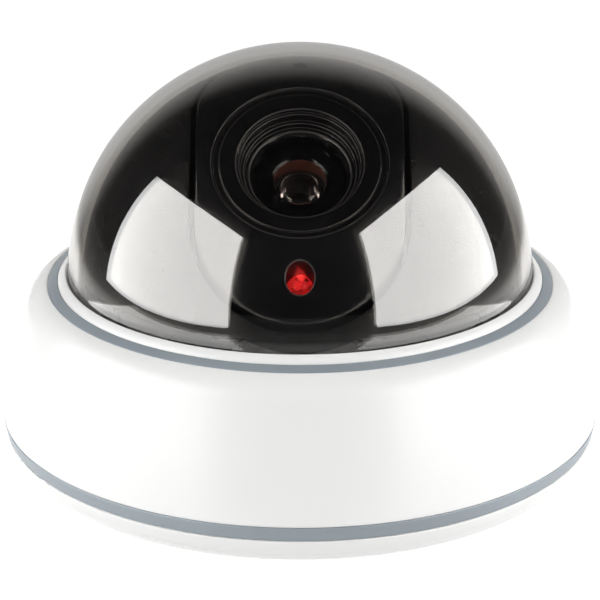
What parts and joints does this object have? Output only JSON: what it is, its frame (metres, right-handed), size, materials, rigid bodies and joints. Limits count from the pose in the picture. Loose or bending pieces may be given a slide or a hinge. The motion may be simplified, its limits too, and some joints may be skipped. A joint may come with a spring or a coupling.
{
  "type": "dome camera",
  "caption": "Ceiling or wall dome camera: white round shell with grey trim rings, smoked dome, and a black camera head with stepped lens well and red status lamp.",
  "frame": {"origin": "centre of the flat mounting face of the base", "axes": "+Z away from the mounting surface, towards the top of the dome; the lens looks towards -Y, 51 degrees above the mounting face"},
  "size_m": [0.12, 0.12, 0.082],
  "materials": {
    "white_abs": "glossy moulded plastic",
    "grey_trim": "smooth satin plastic",
    "smoked_dome": "clear smoked acrylic",
    "black_shroud": "fine satin black",
    "black_cover": "fine satin black",
    "black_well": "satin black, turned steps",
    "lens_black": "polished black",
    "lens_glass": "coated optical glass",
    "filter_glass": "coated filter glass",
    "lens_ring": "black anodised, worn bright",
    "red_lamp": "clear red resin",
    "rubber_black": "matt rubber",
    "circuit_board": "green solder mask",
    "chip_black": "moulded epoxy",
    "sensor_chip": "bare sensor under glass",
    "steel": "zinc-plated steel",
    "can_metal": "drawn aluminium can",
    "nylon": "natural nylon",
    "terminal_green": "moulded plastic",
    "carriage_black": "textured plastic",
    "light_cell": "coated cell"
  },
  "bodies": {
    "base": {"base_plate": "white_abs", "cable_grommet": "rubber_black", "main_board": "circuit_board", "main_board_screws": "steel", "processor_chip": "chip_black", "board_capacitors": "can_metal", "power_terminal": "terminal_green", "video_socket": "nylon", "friction_washer": "nylon", "hub_retaining_ring": "steel"},
    "shell": {"body_shell": "white_abs", "lower_trim_ring": "grey_trim", "upper_trim_ring": "grey_trim"},
    "dome": {"dome_cover": "smoked_dome", "dome_bezel": "white_abs", "dome_seal": "rubber_black"},
    "pan_carriage": {"turntable": "carriage_black", "tilt_pins": "steel", "tilt_washers": "nylon"},
    "camera_head": {"inner_liner": "black_shroud", "module_cover": "black_cover", "module_screws": "steel", "lens_barrel": "black_well", "barrel_screws": "steel", "lens_holder": "carriage_black", "lens_holder_screws": "steel", "sensor_board": "circuit_board", "sensor_board_screws": "steel", "image_sensor": "sensor_chip", "infrared_filter": "filter_glass", "ribbon_socket": "nylon", "status_led": "red_lamp", "led_leads": "steel", "led_board": "circuit_board", "led_resistor": "chip_black", "light_sensor": "light_cell"},
    "lens": {"lens_cell": "lens_black", "lens_front_ring": "lens_ring", "front_element": "lens_glass", "middle_element": "lens_glass", "rear_element": "lens_glass", "aperture_disc": "chip_black", "focus_lock_ring": "lens_ring"}
  },
  "joints": [
    {"name": "shell_twist", "type": "hinge", "parent": "base", "child": "shell", "pos_m": [0, 0, 0.0104], "axis": [0, 0, 1], "range_deg": [0, 25]},
    {"name": "dome_lift", "type": "slide", "parent": "shell", "child": "dome", "axis": [0, 0, 1], "range_m": [0, 0.05]},
    {"name": "head_pan", "type": "hinge", "parent": "base", "child": "pan_carriage", "pos_m": [0, 0, 0.0145], "axis": [0, 0, 1], "range_deg": [-175, 175]},
    {"name": "head_tilt", "type": "hinge", "parent": "pan_carriage", "child": "camera_head", "pos_m": [0, 0, 0.03575], "axis": [-1, 0, 0], "range_deg": [-20, 25]},
    {"name": "lens_focus", "type": "hinge", "parent": "camera_head", "child": "lens", "pos_m": [0, -0.01259, 0.05129], "axis": [0, -0.6293, 0.7771], "range_deg": [-180, 180]}
  ]
}
